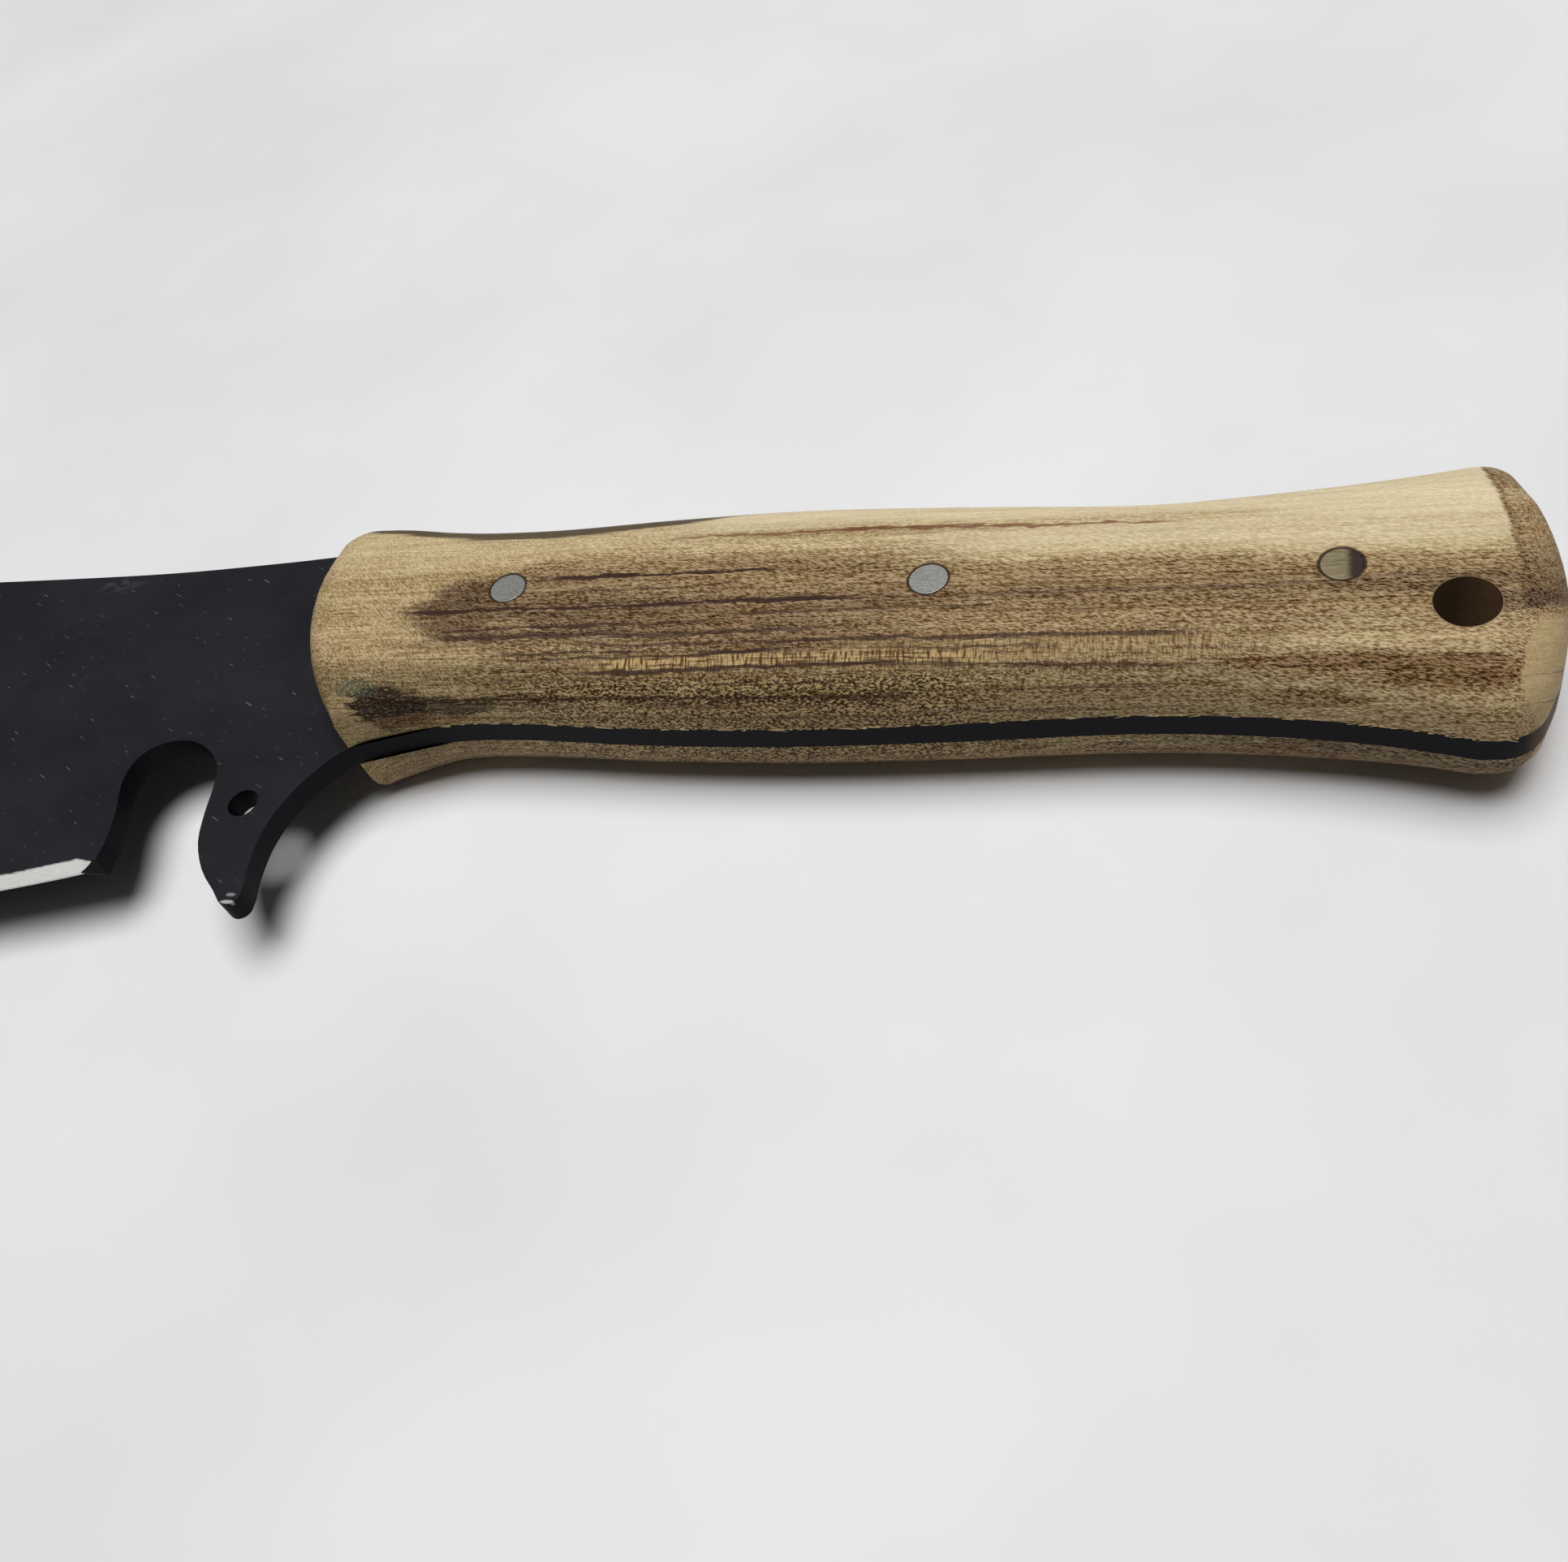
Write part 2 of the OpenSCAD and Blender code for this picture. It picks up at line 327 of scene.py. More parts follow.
# %% Growth lines
# Place across the layers, rise along it, start and end along the grain, half width, strength
# and tone of each line, in millimetres from the front pin
GROWTH_LINES = [
    (12.35, 0.0, 20, 50, 0.12, 0.7, "red brown"), (13.05, -0.0165, 40, 78, 0.13, 0.8, "red brown"),
    (12.55, -0.004, 34, 62, 0.09, 0.6, "red brown"), (12.9, -0.016, 26, 60, 0.4, 0.3, "rust"),
    (11.2, 0.0, 3, 10, 0.2, 0.4, "light heart"), (8.1, 0.0, 5, 18, 0.24, 0.95, "line"),
    (8.05, 0.002, 14, 34, 0.17, 0.95, "line"), (9.75, 0.004, 6, 40, 0.12, 0.35, "heart"),
    (9.3, -0.004, 20, 58, 0.14, 0.3, "heart"), (4.75, 0.002, -13, 44, 0.18, 0.95, "line"),
    (4.8, 0.0, 58, 96, 0.16, 0.4, "line"), (2.45, 0.008, -6, 26, 0.16, 0.8, "line"),
    (1.55, 0.0, -8, 40, 0.3, 0.7, "line"), (0.3, 0.0, 36, 80, 0.2, 0.8, "line"),
    (0.55, -0.008, 12, 40, 0.15, 0.7, "line"), (-0.42, 0.0, 2, 20, 0.13, 0.8, "line"),
    (-1.1, 0.004, 2, 30, 0.13, 0.8, "line"), (-1.5, 0.026, 27, 36, 0.24, 0.95, "line"),
    (-0.7, 0.0, 50, 66, 0.15, 0.7, "line"), (-2.9, 0.014, 12, 48, 0.24, 0.9, "line"),
    (-1.35, -0.02, 44, 80, 0.18, 0.75, "line"), (-3.6, 0.0, -2, 20, 0.14, 0.4, "umber"),
    (-5.75, 0.0, -14, 52, 0.18, 0.65, "pore"), (-6.9, 0.0, -4, 40, 0.16, 0.5, "umber"),
    (-8.2, 0.0, 0, 50, 0.14, 0.4, "umber"), (4.5, 0.003, 1, 14, 0.07, 0.5, "pale fibre"),
    (4.55, 0.0, 24, 46, 0.06, 0.45, "pale fibre"), (7.9, 0.0, 18, 34, 0.06, 0.45, "pale fibre"),
    (2.2, 0.01, 3, 9, 0.08, 0.5, "pale fibre"), (1.2, 0.0, 2, 34, 0.06, 0.45, "pale fibre"),
    (-6.0, 0.0, -4, 6, 0.07, 0.5, "pale fibre"), (-7.2, 0.0, 16, 46, 0.06, 0.45, "pale fibre"),
    (-6.3, 0.0, 54, 66, 0.06, 0.45, "pale fibre"), (6.9, -0.01, 3, 9, 0.25, 0.6, "fawn"),
    (7.4, 0.0, 8, 14, 0.2, 0.5, "fawn"), (-2.1, -0.02, 114, 121, 0.06, 0.8, "umber"),
    (-3.9, -0.03, 112, 121, 0.06, 0.8, "umber"), (5.4, 0.004, 60, 96, 0.12, 0.5, "tick"),
    (6.2, 0.0, 44, 78, 0.1, 0.4, "tick"), (3.5, 0.004, 20, 52, 0.1, 0.5, "tick"),
    (2.9, 0.0, 56, 92, 0.12, 0.5, "tick"), (6.6, 0.003, 8, 30, 0.1, 0.55, "line"),
    (3.2, 0.006, 30, 58, 0.12, 0.6, "line"), (-4.9, 0.0, 56, 84, 0.1, 0.5, "tick"),
    (-7.6, 0.0, 50, 80, 0.12, 0.5, "pore"), (-4.4, 0.006, 0, 44, 0.1, 0.5, "pore"),
    (-5.1, 0.0, 48, 78, 0.14, 0.5, "pore"),
]


def growth_lines(add, colour, grain, along, across, seed):
    """The colour with all the growth lines, which waver together"""
    waver = stretched_noise(add, grain, (9, 3, 60), seed + 20, 2.0)
    wavered = add("Math", waver, -0.6, add("Math", across, 0.3), operation="MULTIPLY_ADD")
    broken = stretched_noise(add, grain, (2.6, 0.3, 8), seed + 40, 2.0)
    fullness = add("MapRange", broken, 0.3, 0.62, 0.35, 2.1)
    short = stretched_noise(add, grain, (0.9, 0.3, 8), seed + 41, 1.0)
    dashes = add("MapRange", short, 0.46, 0.6, 0.01, 1.8)
    for place, rise, start, end, half, strength, tone in GROWTH_LINES:
        centre = add("Math", along, rise, place, operation="MULTIPLY_ADD")
        away = add("Math", add("Math", wavered, centre, operation="SUBTRACT"), operation="ABSOLUTE")
        width = dashes if tone == "pale fibre" else fullness
        away = add("Math", away, add("Math", width, half, operation="MULTIPLY"), operation="DIVIDE")
        near = add("MapRange", away, 0.4, 1.1, strength, 0.0, interpolation_type="SMOOTHSTEP")
        mask = times(add, near, window(add, along, start, end, 2.5))
        colour = tint(add, colour, mask, TONES[tone])
    return colour

# %% [markdown]
# ## The wood material
# Bare sanded hardwood scatters light evenly and has no gloss coat, so its roughness stays high
# and almost all of its character is in the colour. The layers come first, then the stains and the
# lower scale's painted shade, the sanded facet at the butt, the fibres, the ladder of rays with the
# open pores, the growth lines, and last the darker far edge, a scrape from use, the dark rings
# round the pins and the painted shade in the hole. The bump is only the raised fibre that coarse
# sandpaper leaves.

# %% Grain sizes and axes
# Length along the grain, width across the layers and depth within a layer of one grain of each
# pattern, in millimetres. Real fibres are about 0.03 mm thick, too fine to show, so threads,
# strokes and lifted fibres are drawn as coarse as they must be to show.
GRAINS = {
    "drift": (45, 9, 40), "ripple": (2.4, 0.8, 0.9), "ragged fronts": (7, 0.9, 8),
    "jagged end": (2, 0.5, 3), "streaks": (26, 0.45, 2.4), "threads": (8, 0.2, 0.7),
    "strokes": (0.58, 0.15, 0.18), "lifted fibres": (1.6, 0.13, 0.17), "ray ticks": (0.22, 0.9, 3),
    "ray bars": (0.3, 2.2, 5), "rungs": (6, 0.3, 5), "pores": (0.38, 0.2, 0.3),
    "blots": (3.2, 0.7, 3), "wander": (5, 2, 4), "frayed edge": (14, 0.5, 1.2),
    "nap": (0.9, 0.13, 0.3),
}


def grain_axes(add, place, side):
    """Along the grain, across the layers and within a layer; side is 1 for the upper scale"""
    xyz = add("SeparateXYZ", place).outputs
    slant = math.sqrt(0.5)
    up = add("Math", xyz["Z"], side * slant, operation="MULTIPLY")
    across = add("Math", xyz["Y"], slant, up, operation="MULTIPLY_ADD")
    within = add("Math", xyz["Y"], -slant, up, operation="MULTIPLY_ADD")
    return xyz, across, within


def squared_from(add, value, centre, factor, offset):
    """offset plus factor times the squared distance from a centre"""
    away = add("Math", value, centre, operation="SUBTRACT")
    square = add("Math", away, away, operation="MULTIPLY")
    return add("Math", square, factor, offset, operation="MULTIPLY_ADD")

# %% [markdown]
# The tones change along the handle too: pale at the nose, darkest over the grip, and sandy at the
# butt, where the end grain begins. The six stretches run into each other along ragged fronts, as
# colours do in real wood. A plain gradient would be simpler, and would look painted on. At the
# butt, curves bound the end grain and the facet that a belt sander left.

# %% Tones along the handle
def handle_tones(add, along, across, layer, grain, seed):
    """The tones of the six stretches, which run into each other along ragged fronts"""
    ragged = stretched_noise(add, grain, GRAINS["ragged fronts"], seed + 2, 3.0, 0.6)
    here = add("Math", along, 4.5, operation="SUBTRACT")
    here = add("Math", ragged, 9.0, here, operation="MULTIPLY_ADD")
    nose_end = squared_from(add, across, centre=4.5, factor=0.5, offset=-12.5)
    past_nose = add("Math", here, nose_end, operation="SUBTRACT")
    colour = layer_tones(add, layer, NOSE)
    for share, stretch in (
        (step_up(add, past_nose, -2.0, 3.5), FRONT), (step_up(add, here, 12.0, 30.0), MIDDLE),
        (step_up(add, here, 42.0, 60.0), REAR), (step_up(add, here, 82.0, 94.0), BUTT),
    ):
        colour = add("Mix", share, colour, layer_tones(add, layer, stretch), data_type="RGBA")
    high = add("Math", across, 5.0, operation="MAXIMUM")
    end_start = squared_from(add, high, centre=5.0, factor=-0.021, offset=112.3)
    jagged = stretched_noise(add, grain, GRAINS["jagged end"], seed + 14, 3.0)
    past_end = add("Math", jagged, add("Math", along, end_start, operation="SUBTRACT"))
    end_share = step_up(add, past_end, 0.2, 0.8)
    colour = add("Mix", end_share, colour, layer_tones(add, layer, END), data_type="RGBA")
    border = window(add, past_end, 0.4, 1.2, 0.35)
    border = times(add, border, step_up(add, across, 1.0, 3.0), 0.35)
    return tint(add, colour, border, TONES["tick"])


def sanded_facet(add, along, across, ripple):
    """The smooth lens at the butt where the corner was taken off on a belt sander"""
    start = squared_from(add, across, centre=-4.5, factor=0.08, offset=111.6)
    past = add("Math", along, start, operation="SUBTRACT")
    past = add("Math", ripple, 1.2, past, operation="MULTIPLY_ADD")
    return times(add, step_up(add, past, 0.5, 0.9), step_up(add, across, 1.3, 0.2))

# %% [markdown]
# A sanded face isn't smooth. Broad streaks follow the layers, fine threads lie in them, and the
# sandpaper broke the fibres into short strokes. Each of these is a noise with a size of its own
# that makes the tone paler or darker, and more so in dark wood, where the eye sees it best. An
# image could show the same, but a pattern drawn in millimetres stays sharp from close by.

# %% Fibres
# How far the sanding strokes lean over the grip and over the nose, in degrees, and between which
# places along the handle they turn from one to the other
GRIP_LEAN, NOSE_LEAN = 13, 36
GRIP_START, NOSE_END = 6.0, -8.0


def fibre_shade(add, colour, fine, grain, place, along, smooth, seed):
    """The colour with streaks, strokes and lifted fibres; darker wood shows them more strongly"""
    dark_wood = add("MapRange", add("RGBToBW", colour), 0.06, 0.55, 1.0, 0.12)
    rough_wood = times(add, dark_wood, add("MapRange", smooth, 0.0, 1.0, 1.0, 0.25))
    streaks = stretched_noise(add, grain, GRAINS["streaks"], seed + 3, 3.0, 0.65)
    threads = stretched_noise(add, grain, GRAINS["threads"], seed + 19, 2.0, 0.6)
    broad = add("MapRange", streaks, 0.3, 0.7, -0.2, 0.2)
    broad = times(add, broad, add("MapRange", dark_wood, 0.12, 1.0, 0.4, 1.0))
    thread = add("MapRange", threads, 0.3, 0.7, -0.42, 0.42)
    # Coarse sandpaper broke the fibres into short strokes, and over the nose it was drawn aslant
    lean = (math.radians(GRIP_LEAN), math.radians(NOSE_LEAN))
    angle = add("MapRange", along, GRIP_START, NOSE_END, *lean)
    leaning = add("VectorRotate", place, (-2, 0, 0), (0, 0, 1), angle, rotation_type="AXIS_ANGLE")
    strokes = stretched_noise(add, leaning, GRAINS["strokes"], seed + 4, 1.0, 0.6)
    close = add("MapRange", strokes, 0.33, 0.67, -0.85, 0.85, interpolation_type="SMOOTHSTEP")
    close = times(add, close, add("MapRange", along, GRIP_START, NOSE_END, 1.0, 0.75))
    close = times(add, add("Math", thread, close), rough_wood)
    shade = add("Math", add("Math", broad, close), 1.0, operation="ADD")
    warmth = add("MapRange", threads, 0.35, 0.65, 0.489, 0.511)
    colour = shaded(add, colour, add("Math", shade, 0.14, operation="MAXIMUM"), warmth)
    lifted = stretched_noise(add, fine, GRAINS["lifted fibres"], seed + 15, 1.0)
    pale = times(add, step_up(add, lifted, 0.61, 0.68), rough_wood, 0.4)
    return tint(add, colour, pale, TONES["sapwood"])

# %% [markdown]
# Where the layers are cut square, the rays lie across them as a ladder of pale bars between dark
# ticks. On the belly the pores are open and look like dark dots. These are noises again, and
# windows along and across the grain keep them in their bands.

# %% Rays and pores
def rays_and_pores(add, colour, grain, fine, along, across, layer, seed):
    """The ladder of rays, the pores on the belly, and the flecks between them"""
    ticks = stretched_noise(add, grain, GRAINS["ray ticks"], seed + 5, 1.0)
    bars = stretched_noise(add, grain, GRAINS["ray bars"], seed + 18, 2.0)
    rungs = stretched_noise(add, grain, GRAINS["rungs"], seed + 6, 2.0, 0.65)
    band = times(add, window(add, layer, -2.6, -0.9, 0.35), window(add, along, 13, 60, 4))
    upper_band = times(add, window(add, layer, -2.2, 0.1, 0.4), window(add, along, 42, 84, 4), 0.45)
    band = add("Math", band, upper_band, operation="MAXIMUM")
    glow = times(add, band, add("MapRange", rungs, 0.4, 0.56, 0.05, 0.95))
    colour = tint(add, colour, glow, TONES["ray"])
    seams = times(add, band, step_up(add, rungs, 0.46, 0.36), 0.7)
    colour = tint(add, colour, seams, TONES["tick"])
    crossed = times(add, band, step_up(add, bars, 0.5, 0.39), 0.95)
    colour = tint(add, colour, crossed, TONES["tick"])
    wide = times(add, window(add, layer, -3.8, 0.8, 0.5), window(add, along, 0, 86, 5))
    between_rungs = add("MapRange", rungs, 0.32, 0.6, 0.95, 0.4)
    cut = times(add, wide, step_up(add, ticks, 0.5, 0.36), between_rungs)
    colour = tint(add, colour, cut, TONES["tick"])
    pores = stretched_noise(add, fine, GRAINS["pores"], seed + 7, 1.0, 0.5)
    belly = times(add, step_up(add, across, -2.4, -4.2), window(add, along, 1, 62, 9))
    dots = times(add, belly, step_up(add, pores, 0.51, 0.6), 0.92)
    colour = tint(add, colour, dots, TONES["pore"])
    flecks = times(add, belly, step_up(add, pores, 0.46, 0.36), 0.62)
    return tint(add, colour, flecks, TONES["ray"])

# %% [markdown]
# A stain is a soft patch with a blotted border. It is an ellipse whose outer part is broken up by
# a noise that is stretched along the grain, because dirt creeps along the fibres. The painted shade
# on the lower scale is drawn with the same patches.

# %% Stains and painted shade
# Centre along and across, half length and half height in millimetres, strength and tone of each
# patch. The upper scale soaked up black dirt behind its front corner. The lower scale's own umber
# patches are painted shade over its butt end, and at its front painted shade and a dark stain in
# one. The last list is for both scales.
UPPER_STAINS = [
    (-12.8, -6.6, 6.5, 4.2, 0.95, "stain"), (-8, -6.6, 11, 1.9, 0.8, "stain"),
    (3, -5.9, 13, 1.1, 0.6, "stain"), (-10, -8.4, 9, 1.4, 0.6, "rust"),
    (-16.4, -3.9, 3.6, 1.7, 0.6, "blue green"),
]
# Painted shade on the lower scale: umber over its butt end, and at its front shade and a dark stain
LOWER_SHADE_AND_STAINS = [
    (104, -7, 26, 9, 0.75, "umber"), (84, -6, 20, 4, 0.4, "umber"), (-10, -7, 12, 4, 0.4, "umber"),
]
SHARED_STAINS = [
    (-7, 0.7, 5, 1.2, 0.5, "walnut"), (1.5, 2.8, 4, 1.3, 0.4, "fawn"),
    (111, -3, 3, 5, 0.4, "light heart"), (-5, 7.0, 6.5, 1.9, 0.5, "line"),
    (-7, 5.2, 7, 1.4, 0.35, "line"), (22, -5.9, 40, 0.9, 0.4, "stain"),
    (106, -4.2, 10, 2.7, 0.95, "rust"), (94, -3.0, 14, 1.2, 0.85, "rust"),
    (92, -6.8, 9, 1.4, 0.6, "rust"), (104, 4.6, 14, 1.6, 0.3, "line"),
    (112, 2.6, 5, 1.6, 0.5, "line"), (10, -2.2, 4, 0.8, 0.6, "rust"),
    (21, -5.0, 26, 0.8, 0.3, "umber"), (24, 3.4, 16, 1.2, 0.3, "rust"),
    (26, -3.4, 22, 0.6, 0.6, "rust"),
]


def stained_and_shaded(add, colour, grain, stain_and_shade_patches, seed):
    """The colour with these stains and patches of painted shade"""
    blot = stretched_noise(add, grain, GRAINS["blots"], seed + 8, 3.0, 0.65)
    for x, v, length, height, strength, tone in stain_and_shade_patches:
        area = patch(add, grain, (x, v, 0), (length, height, 400), 0.75)
        mask = add("Math", area, add("MapRange", blot, 0.3, 0.7, -0.45, 0.45))
        mask = times(add, step_up(add, mask, 0.15, 0.65), step_up(add, area, 0.0, 0.3), strength)
        colour = tint(add, colour, mask, TONES[tone])
    return colour

# %% [markdown]
# The far edge of the grip is drawn darker where it rounds over. Use has left a scrape across
# the belly. There is a dark ring in the gap round each pin, and the hole's wall is brown, with
# painted shade towards its front side. The rings round the pins are drawn where the frame has the
# pins, so they always fit.

# %% Marks of use and painted shade
# How far the dark ring stands out round each pin, and the hanging hole's place and radius
PIN_RIMS = {"front_pin": 0.36, "middle_pin": 0.36, "rear_pin": 0.42}
HOLE_PLACE = (107.1, -6.4)
HOLE_RADIUS = 3.25
# The scrape across the belly: from and to, along the handle and across it
SCRAPE_ALONG, SCRAPE_ACROSS = (85.5, 86.3), (-16.0, -12.0)


def marks_and_painted_shade(add, colour, flat_place, xyz, grain, seed):
    """The darker far edge, a scrape across the belly, dark pin rings and painted shade in the hole
    """
    # The far edge of the grip is drawn darker where it rounds over
    edge_start = squared_from(add, xyz["X"], centre=1.0, factor=0.0055, offset=9.6)
    wander = stretched_noise(add, grain, GRAINS["wander"], seed + 17, 3.0)
    frayed = stretched_noise(add, grain, GRAINS["frayed edge"], seed + 17, 3.0)
    past = add("Math", xyz["Y"], edge_start, operation="SUBTRACT")
    past = add("Math", frayed, 2.4, past, operation="MULTIPLY_ADD")
    high = add("Math", frayed, 7.0, xyz["Z"], operation="MULTIPLY_ADD")
    edge = times(add, step_up(add, past, 0.3, 1.2), step_up(add, high, 7.5, 11.3), 0.85)
    colour = tint(add, colour, edge, TONES["edge"])
    scrape = window(add, xyz["X"], *SCRAPE_ALONG, 0.25)
    scrape = times(add, scrape, window(add, xyz["Y"], *SCRAPE_ACROSS, 0.6))
    scrape = times(add, scrape, step_up(add, wander, 0.35, 0.6))
    scrape = times(add, scrape, step_up(add, xyz["Z"], 1.0, 2.0), 0.3)
    colour = tint(add, colour, scrape, TONES["pale fibre"])
    for node, rim in PIN_RIMS.items():
        centre = (middle(node) - pin_middle) / MM
        radius = (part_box(node)[1].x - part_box(node)[0].x) / MM / 2
        ring = patch(add, flat_place, (centre.x, centre.y, 0), (radius + rim,) * 3, 0.1)
        colour = tint(add, colour, times(add, ring, 0.9), TONES["stain"])
    bore = patch(add, flat_place, HOLE_PLACE + (0,), (HOLE_RADIUS + 0.12,) * 3, 0.04)
    colour = tint(add, colour, times(add, bore, 0.9), TONES["bore brown"])
    # Painted shade: the hole's wall grows darker towards its front side
    painted_hole_shade = step_up(add, xyz["X"], HOLE_PLACE[0] + 3.0, HOLE_PLACE[0] - 1.4)
    return tint(add, colour, times(add, bore, painted_hole_shade, 0.9), TONES["umber"])

# %% Wood material
def sanded_wood(name, side, own_stains_and_shade, seed):
    """Bare sanded hardwood, pale at the spine and brown at the belly"""
    material, add, shader = start_material(name, Specular_IOR_Level=0.1)
    place = millimetres(add)
    xyz, across, within = grain_axes(add, place, side)
    along = xyz["X"]
    grain = add("CombineXYZ", along, across, within)
    drift = stretched_noise(add, grain, GRAINS["drift"], seed, 1.0)
    ripple = stretched_noise(add, grain, GRAINS["ripple"], seed + 1, 1.0)
    layer = add("Math", across, 0.45, operation="SUBTRACT")
    layer = add("Math", drift, 0.9, layer, operation="MULTIPLY_ADD")
    layer = add("Math", layer, 0.25, operation="SUBTRACT")
    layer = add("Math", ripple, 0.5, layer, operation="MULTIPLY_ADD")
    fine = add("CombineXYZ", along, add("Math", ripple, 0.4, across, operation="MULTIPLY_ADD"),
               add("Math", ripple, 0.4, within, operation="MULTIPLY_ADD"))

    colour = handle_tones(add, along, across, layer, grain, seed)
    # Each scale's own list: real stains on the upper scale, painted shade on the lower one
    colour = stained_and_shaded(add, colour, grain, own_stains_and_shade + SHARED_STAINS, seed)
    facet = sanded_facet(add, along, across, ripple)
    colour = tint(add, colour, times(add, facet, 0.9), TONES["tan"])
    colour = fibre_shade(add, colour, fine, grain, place, along, facet, seed)
    colour = rays_and_pores(add, colour, grain, fine, along, across, layer, seed)
    colour = growth_lines(add, colour, grain, along, layer, seed)
    flat_place = add("VectorMath", place, (1, 1, 0), operation="MULTIPLY")
    colour = marks_and_painted_shade(add, colour, flat_place, xyz, grain, seed)
    link(material, colour, shader.inputs["Base Color"])

    nap = stretched_noise(add, fine, GRAINS["nap"], seed + 9, 2.0, 0.6)
    link(material, add("Bump", 0.6, 0.00006, None, nap), shader.inputs["Normal"])
    link(material, add("MapRange", nap, 0.3, 0.7, 0.58, 0.74), shader.inputs["Roughness"])
    return material


left_wood = sanded_wood("sanded_hardwood_upper", 1, UPPER_STAINS, seed=1)
# The lower scale's own patches are painted shade
right_wood = sanded_wood("sanded_hardwood_lower", -1, LOWER_SHADE_AND_STAINS, seed=60)
count_nodes(left_wood, right_wood)

# %% [markdown]
# ## Coated and ground steel
# The blade is blued black: a thin matt coat on flat steel, with pale hairline scratches from
# handling. Scratches are drawn as the centres of long thin Voronoi cells, many of which stay
# empty. They are drawn from above, so the upright cut edges have a coat of their own without
# them. That coat is a darker copy of the black coat: painted shade on the cut edges.

# %% Black coat
# Where along the tang the painted dark brown of the shaded gap between the scales starts and is
# full, the rubbed spot on the spine, and the centre, half length and strength of two chips on the
# tip of the spur, in millimetres
GAP_SHADE_START, GAP_SHADE_FULL = 112.4, 113.6
RUB_PLACE, RUB_SIZE = (-67.5, 11.4, 0), (5, 2.4, 400)
CHIPS = (((-27.1, -40.3, 1.6), 1.1, 0.85), ((-27.0, -39.3, 1.6), 0.8, 0.4))
SCRATCH_GREY, FAINT_GREY, CHIP_GREY, GAP_WOOD_SHADE = "9A9AA0", "7C7C84", "B9B9B4", "4A3828"


def scratches(add, place, angle, length, gap, share, seed):
    """Mask of short parallel scratches that lie at an angle to the blade"""
    angle = math.radians(angle)
    turned = add("VectorRotate", place, (0, 0, 0), (0, 0, 1), angle, rotation_type="AXIS_ANGLE")
    size, start = (1 / (length * 6), 1 / gap, 1 / 40), (seed, seed * 1.7, 0)
    cells = add("VectorMath", turned, size, start, operation="MULTIPLY_ADD")
    spots = add("TexVoronoi", cells, 1.0, 0.0, 0.5, 2.0, 1.0, voronoi_dimensions="2D")
    pick = add("SeparateColor", spots.outputs["Color"]).outputs
    radius = add("Math", pick["Green"], 0.07, operation="MULTIPLY")
    inside = add("Math", radius, spots.outputs["Distance"], operation="GREATER_THAN")
    shown = add("Math", pick["Red"], share, operation="LESS_THAN")
    return times(add, inside, shown, pick["Blue"])


def blued_coat(name, dark, light, gloss, scratched):
    """Matt blue-black coat with pale hairline scratches, and painted gap shade where the tang ends
    """
    material, add, shader = start_material(name, Specular_IOR_Level=gloss)
    place = millimetres(add)
    cloud = stretched_noise(add, place, (16, 12, 12), 3, 4.0, 0.6)
    colour = add("ValToRGB", cloud, stops=[(0.3, rgb(dark)), (0.7, rgb(light))])
    # Painted shade: the tang really ends short of the scales, so its end gets the dark brown of the
    # scales' wood in the shaded gap between them
    gap_shade = step_up(add, add("SeparateXYZ", place).outputs["X"], GAP_SHADE_START, GAP_SHADE_FULL)
    colour = tint(add, colour, times(add, gap_shade, 0.8), GAP_WOOD_SHADE)
    marks = scratches(add, place, angle=28, length=1.6, gap=0.9, share=0.6, seed=1)
    colour = tint(add, colour, times(add, marks, 0.45 * scratched), SCRATCH_GREY)
    more = scratches(add, place, angle=32, length=1.0, gap=0.7, share=0.5, seed=5)
    colour = tint(add, colour, times(add, more, 0.35 * scratched), FAINT_GREY)
    worn = step_up(add, stretched_noise(add, place, (1.6, 1.0, 4), 8, 4.0), 0.45, 0.7)
    rub = times(add, patch(add, place, RUB_PLACE, RUB_SIZE, 0.9), worn)
    colour = tint(add, colour, times(add, rub, 0.2 * scratched), SCRATCH_GREY)
    for centre, length, strength in CHIPS:
        chip = patch(add, place, centre, (length, 0.3, 1), 0.4)
        colour = tint(add, colour, times(add, chip, strength), CHIP_GREY)
    link(material, colour, shader.inputs["Base Color"])
    grit = stretched_noise(add, place, (0.35, 0.35, 0.35), 6, 2.0)
    link(material, add("MapRange", cloud, 0.3, 0.7, 0.44, 0.56), shader.inputs["Roughness"])
    link(material, add("Bump", 0.25, 0.00003, None, grit), shader.inputs["Normal"])
    return material


coat = blued_coat("matt_black_coat", "1D1D21", "26262B", gloss=0.15, scratched=1.0)
# A darker copy of the coat: painted shade on the upright cut edges
shaded_wall_coat = blued_coat(
    "shaded_black_coat_on_cut_edges", "121216", "1A1A1F", gloss=0.05, scratched=0.0)
count_nodes(coat, shaded_wall_coat)

# %% [markdown]
# The ground bevel is bare steel, finely lined along the edge. Its near-white, mostly matt colour is
# partly the pale steel and partly a painted reflection of the bright room that bare steel mirrors.
# The grinding wheel left the coat's border ragged, so the border is a step in height that a noise
# moves up and down.

